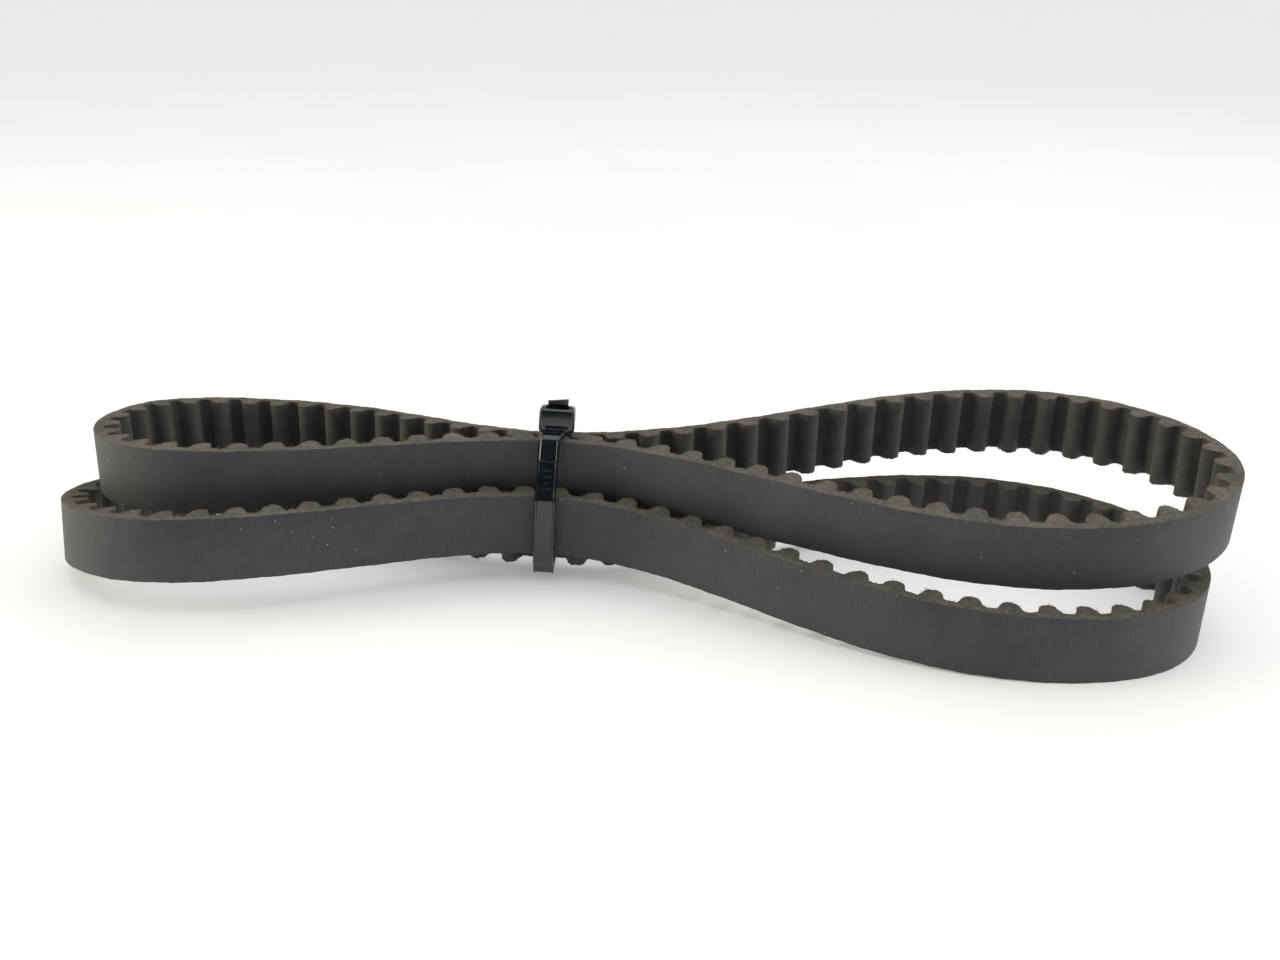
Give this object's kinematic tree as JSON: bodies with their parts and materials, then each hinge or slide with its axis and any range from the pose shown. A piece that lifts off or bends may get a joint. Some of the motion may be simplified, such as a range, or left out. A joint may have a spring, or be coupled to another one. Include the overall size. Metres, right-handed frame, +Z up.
{
  "type": "timing belt",
  "caption": "Endless toothed timing belts, stacked on edge and pinched at the waist into a bow tie shape by a nylon cable tie.",
  "frame": {"origin": "centre of the bounding box at its base, on the surface the belts lie on", "axes": "+X runs along the pair towards its wider lobe; -Y is the side where the tie's strap comes down from its head; +Z is up, across the belts' width"},
  "size_m": [0.269, 0.0908, 0.0413],
  "materials": {
    "backing_rubber": "ground matt rubber back with a fine cross grain",
    "tensile_cord": "wound twisted cord, seen only at the cut edges",
    "tooth_rubber": "matt rubber, cut and dusty at the edges",
    "tooth_facing": "rubberised woven nylon twill",
    "tie_nylon": "glossy moulded nylon"
  },
  "bodies": {
    "belts_and_tie": {"lower_belt_backing_rubber": "backing_rubber", "lower_belt_tensile_cord": "tensile_cord", "lower_belt_tooth_rubber": "tooth_rubber", "lower_belt_tooth_facing": "tooth_facing", "upper_belt_backing_rubber": "backing_rubber", "upper_belt_tensile_cord": "tensile_cord", "upper_belt_tooth_rubber": "tooth_rubber", "upper_belt_tooth_facing": "tooth_facing", "tie_strap_and_head": "tie_nylon"},
    "locking_tongue": {"tie_locking_tongue": "tie_nylon"}
  },
  "joints": [
    {"name": "locking_tongue_flex", "type": "hinge", "parent": "belts_and_tie", "child": "locking_tongue", "pos_m": [-0.01746, 0.00707, 0.03501], "axis": [0.9988, 0, -0.049], "range_deg": [0, 12], "stiffness_Nm_per_rad": 0.005}
  ]
}
